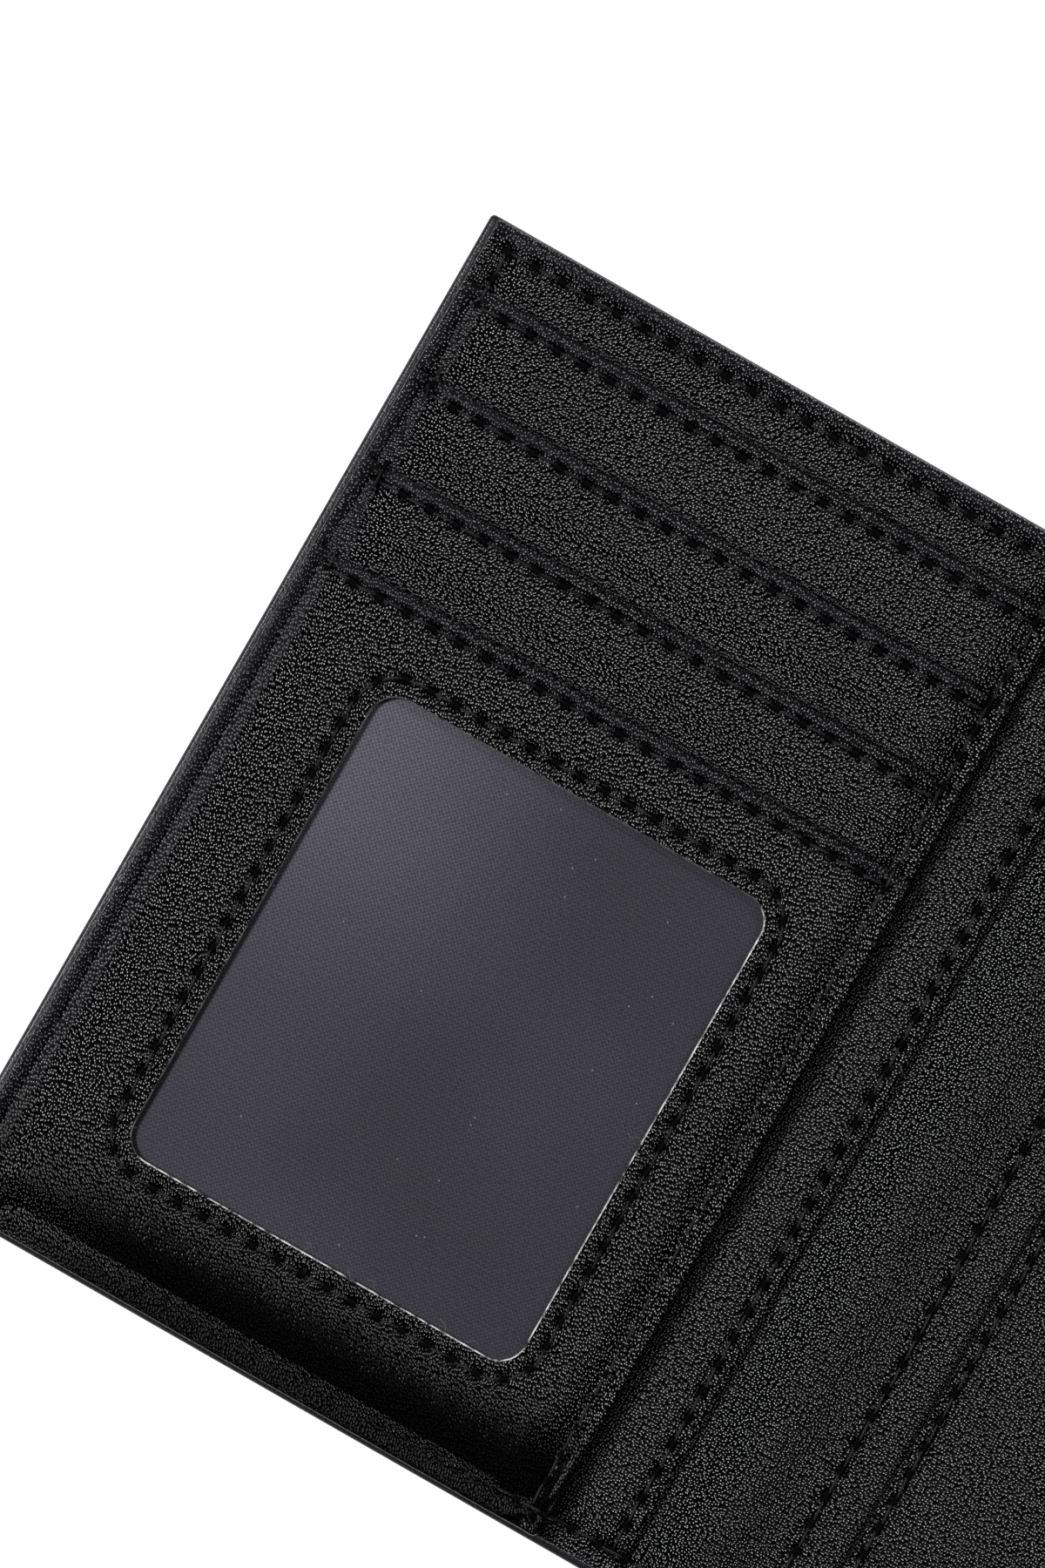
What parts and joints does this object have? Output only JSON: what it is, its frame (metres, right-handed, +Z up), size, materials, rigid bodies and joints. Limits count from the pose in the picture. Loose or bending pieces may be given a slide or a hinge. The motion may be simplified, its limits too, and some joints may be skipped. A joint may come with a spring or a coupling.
{
  "type": "trifold wallet",
  "caption": "Flat-opened leather trifold wallet with a banknote compartment, stacked card slots, slip pockets and a framed ID window; two flaps fold over the centre.",
  "frame": {"origin": "centre of the open wallet's footprint, on the underside of its outer leather", "axes": "+X along the open wallet from the flap with the ID window to the other flap, +Y towards the banknote opening, +Z up out of the inside face"},
  "size_m": [0.251, 0.104, 0.0073],
  "materials": {
    "shell_leather": "smooth black leather, semi-matt",
    "inner_leather": "fine pebble-grain black leather",
    "lining_fabric": "thin plain-weave black lining",
    "window_film": "frosted dark translucent film with a fine mesh texture",
    "seam_thread": "black lockstitch thread"
  },
  "bodies": {
    "centre": {"centre_shell": "shell_leather", "centre_shell_lining": "lining_fabric", "centre_inner_panel": "inner_leather", "centre_inner_lining": "lining_fabric", "centre_slip_pocket_1": "inner_leather", "centre_slip_pocket_1_thread": "seam_thread", "centre_slip_pocket_2": "inner_leather", "centre_slip_pocket_2_thread": "seam_thread", "centre_top_thread": "seam_thread", "centre_bottom_thread": "seam_thread"},
    "left_spine": {"left_spine_shell": "shell_leather", "left_spine_shell_lining": "lining_fabric", "left_spine_inner_panel": "inner_leather", "left_spine_bottom_thread": "seam_thread"},
    "left_flap": {"left_shell": "shell_leather", "left_shell_lining": "lining_fabric", "left_inner_panel": "inner_leather", "left_inner_lining": "lining_fabric", "left_slip_pocket": "inner_leather", "left_stack_backing": "inner_leather", "left_card_slot_1": "inner_leather", "left_card_slot_1_lining": "lining_fabric", "left_card_slot_1_thread": "seam_thread", "left_card_slot_2": "inner_leather", "left_card_slot_2_lining": "lining_fabric", "left_card_slot_2_thread": "seam_thread", "left_card_slot_3": "inner_leather", "left_card_slot_3_lining": "lining_fabric", "left_card_slot_3_thread": "seam_thread", "id_window_pocket": "inner_leather", "id_window_film": "window_film", "id_pocket_edge_thread": "seam_thread", "id_window_thread": "seam_thread", "left_perimeter_thread": "seam_thread", "left_stack_thread": "seam_thread", "left_slip_pocket_thread": "seam_thread"},
    "right_spine": {"right_spine_shell": "shell_leather", "right_spine_shell_lining": "lining_fabric", "right_spine_inner_panel": "inner_leather", "right_spine_bottom_thread": "seam_thread"},
    "right_flap": {"right_shell": "shell_leather", "right_shell_lining": "lining_fabric", "right_inner_panel": "inner_leather", "right_inner_lining": "lining_fabric", "right_slip_pocket": "inner_leather", "right_stack_backing": "inner_leather", "right_card_slot_1": "inner_leather", "right_card_slot_1_lining": "lining_fabric", "right_card_slot_1_thread": "seam_thread", "right_card_slot_2": "inner_leather", "right_card_slot_2_lining": "lining_fabric", "right_card_slot_2_thread": "seam_thread", "right_card_slot_3": "inner_leather", "right_card_slot_3_lining": "lining_fabric", "right_card_slot_3_thread": "seam_thread", "right_card_slot_4": "inner_leather", "right_card_slot_4_thread": "seam_thread", "right_perimeter_thread": "seam_thread", "right_stack_thread": "seam_thread", "right_slip_pocket_thread": "seam_thread"}
  },
  "joints": [
    {"name": "left_fold", "type": "hinge", "parent": "centre", "child": "left_spine", "pos_m": [-0.04155, 0, 0.00045], "axis": [0, 1, 0], "range_deg": [0, 90], "deforming": ["left_spine_shell", "left_spine_shell_lining", "left_spine_inner_panel", "left_spine_bottom_thread"]},
    {"name": "left_flap_fold", "type": "hinge", "parent": "left_spine", "child": "left_flap", "pos_m": [-0.05365, 0, 0.00045], "axis": [0, 1, 0], "range_deg": [0, 90]},
    {"name": "right_fold", "type": "hinge", "parent": "centre", "child": "right_spine", "pos_m": [0.03365, 0, 0.00045], "axis": [0, -1, 0], "range_deg": [0, 90], "deforming": ["right_spine_shell", "right_spine_shell_lining", "right_spine_inner_panel", "right_spine_bottom_thread"]},
    {"name": "right_flap_fold", "type": "hinge", "parent": "right_spine", "child": "right_flap", "pos_m": [0.05365, 0, 0.00045], "axis": [0, -1, 0], "range_deg": [0, 90]}
  ],
  "couplings": [
    {"joint": "left_flap_fold", "follows": "left_fold", "ratio": 1},
    {"joint": "right_flap_fold", "follows": "right_fold", "ratio": 1}
  ]
}
